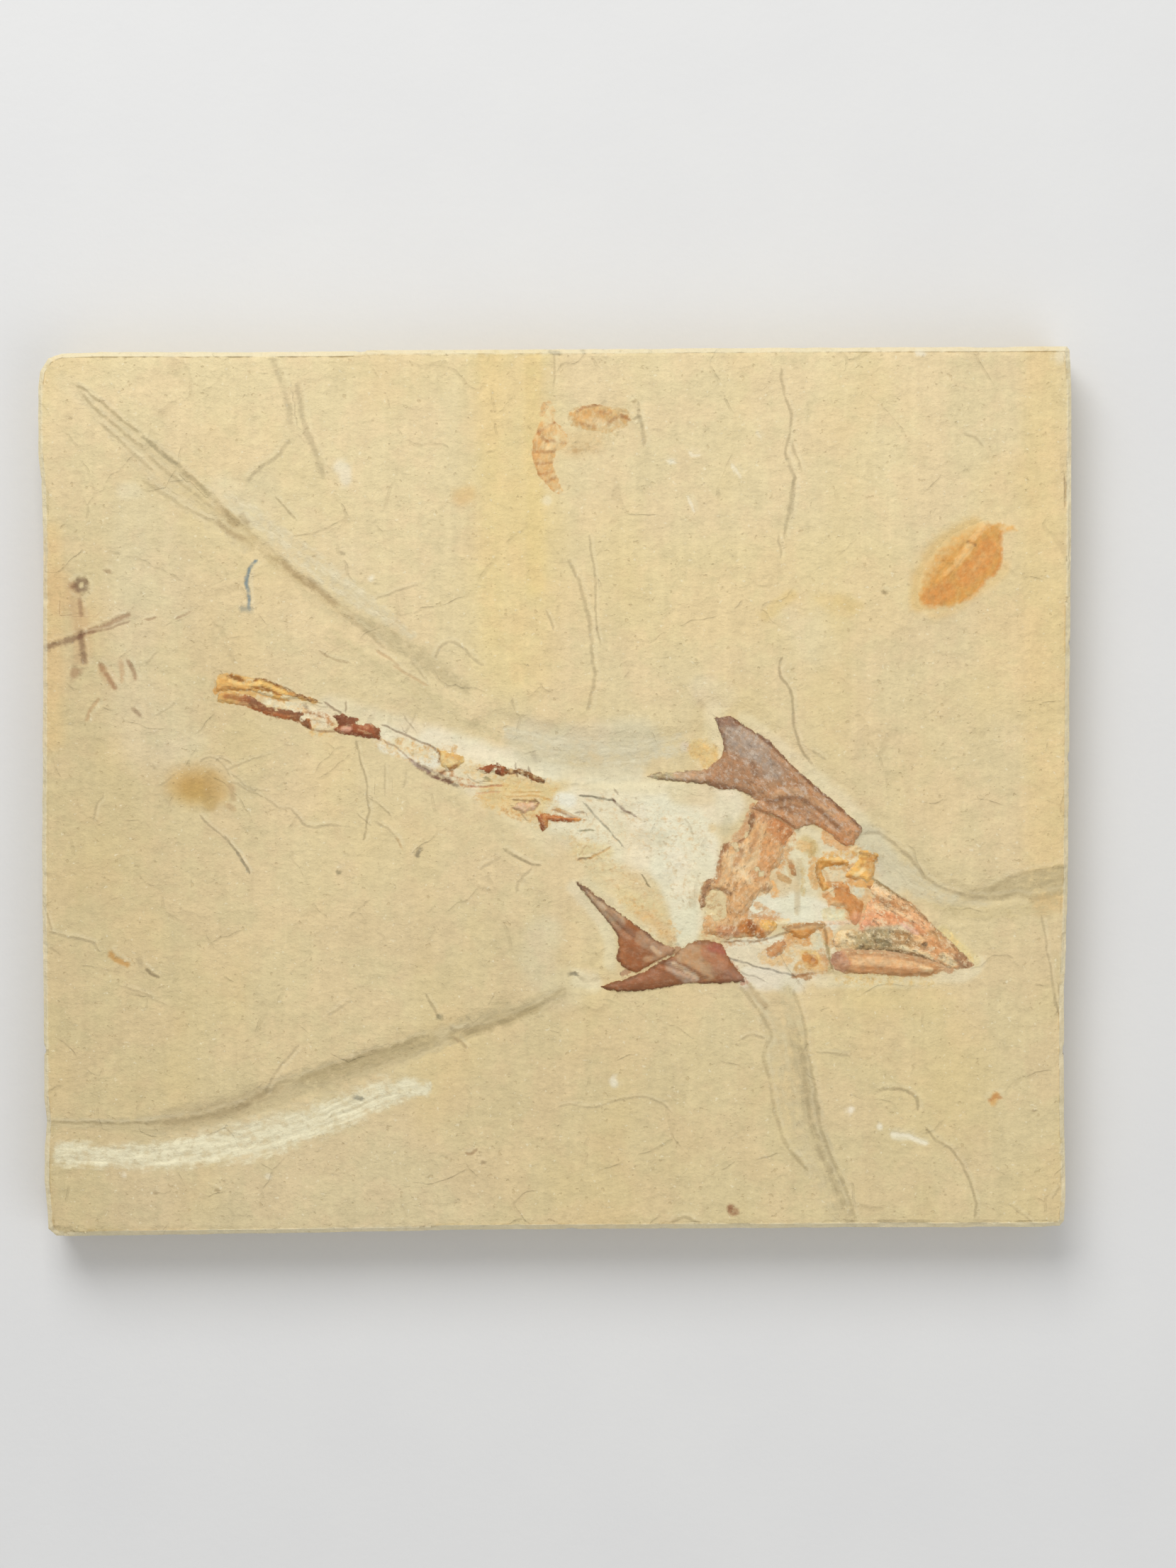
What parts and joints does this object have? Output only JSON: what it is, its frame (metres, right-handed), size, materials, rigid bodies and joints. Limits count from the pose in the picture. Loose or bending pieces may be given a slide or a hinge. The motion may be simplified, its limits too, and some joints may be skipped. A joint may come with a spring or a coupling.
{
  "type": "fossil fish slab",
  "caption": "Sawn cream limestone slab with the brown bones of a spiny fossil fish proud of its face; lies on its flat back.",
  "frame": {"origin": "middle of the slab's flat underside", "axes": "+X along the slab's width towards the fish's snout, +Y up the slab towards the shrimp, +Z out of the prepared face"},
  "size_m": [0.2026, 0.1746, 0.0153],
  "materials": {
    "limestone": "matt fine-grained limestone, scraped and brushed",
    "brown_bone": "smooth red-brown fossil bone, low sheen",
    "tan_bone": "rough orange-tan fossil bone",
    "pink_bone": "rough pink-orange fossil bone with cream flecks",
    "ochre_bone": "golden ochre fossil bone",
    "pale_film": "thin pale orange fossil film"
  },
  "bodies": {
    "root": {"slab": "limestone", "upper_spine": "brown_bone", "shoulder_girdle": "tan_bone", "skull_bar": "ochre_bone", "skull_block": "ochre_bone", "cheek_plate": "brown_bone", "gill_bar": "tan_bone", "gill_plate": "tan_bone", "snout": "pink_bone", "lower_jaw": "pink_bone", "pectoral_spine": "brown_bone", "pelvic_spine": "brown_bone", "backbone": "brown_bone", "tail_vertebra": "ochre_bone", "belly_scute": "brown_bone", "belly_spine": "brown_bone", "tail_root": "brown_bone", "upper_fin_lobe": "ochre_bone", "lower_fin_lobe": "brown_bone", "shrimp_tail": "pale_film", "shrimp_shell": "pale_film", "oval_shell": "ochre_bone"}
  },
  "joints": []
}
